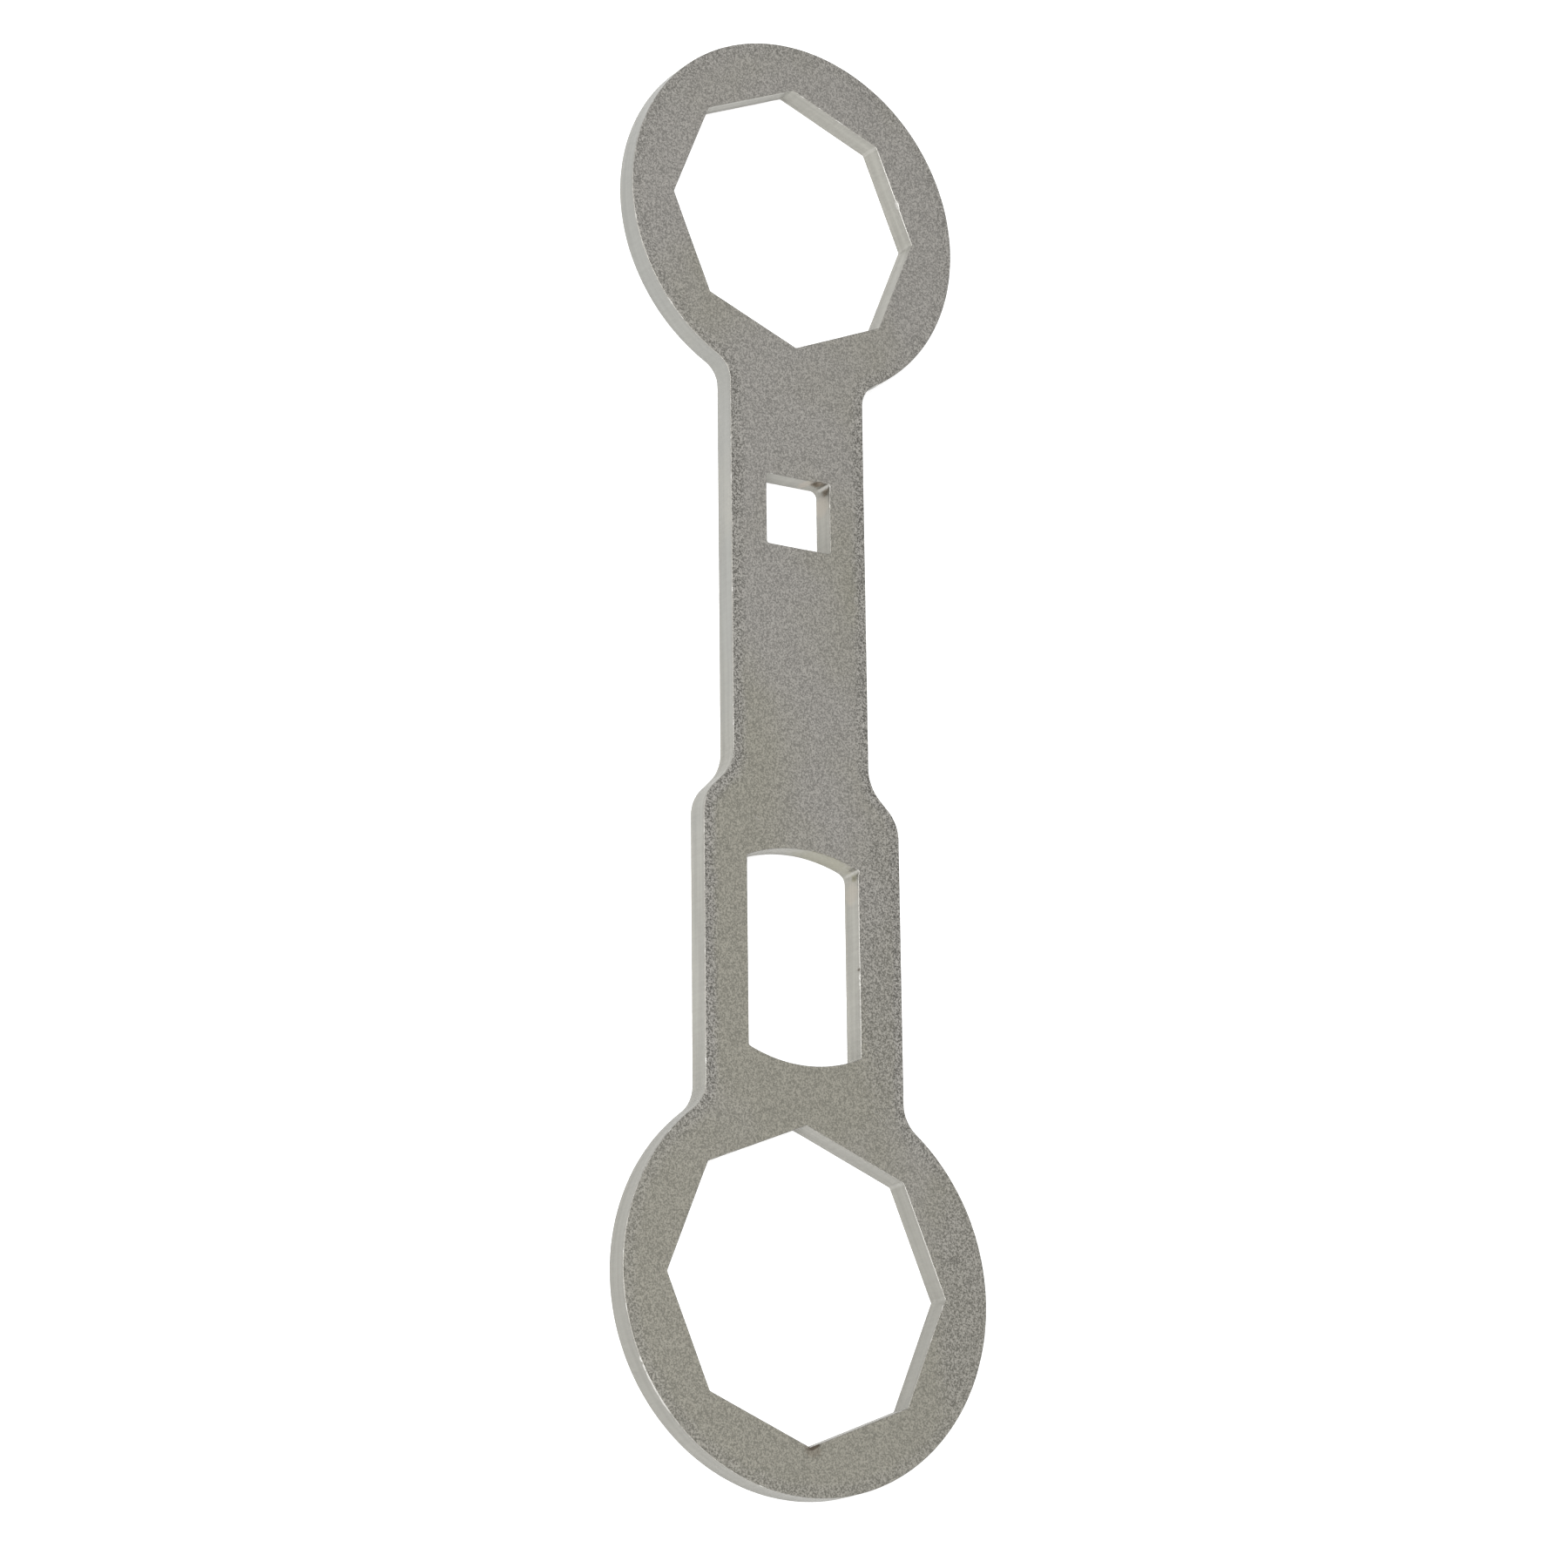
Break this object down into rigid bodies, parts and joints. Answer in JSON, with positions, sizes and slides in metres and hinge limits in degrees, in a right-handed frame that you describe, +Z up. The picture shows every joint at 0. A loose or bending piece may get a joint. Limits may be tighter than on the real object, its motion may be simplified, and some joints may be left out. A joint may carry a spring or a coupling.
{
  "type": "ring wrench",
  "caption": "Flat double-ended steel plate wrench with two octagonal ring ends, a stepped handle, a square drive hole and a barrel-shaped window.",
  "frame": {"origin": "middle of the plate's bounding box, on its lower face", "axes": "+X along the length, from the small ring to the big ring; +Y across the width; +Z up, through the thickness, out of the upper face"},
  "size_m": [0.26, 0.0708, 0.0045],
  "materials": {
    "plated_steel": "fine-grained dull zinc plating, tumbled, with lighter cut walls and a thin bright broken edge"
  },
  "bodies": {
    "root": {"wrench_plate": "plated_steel"}
  },
  "joints": []
}
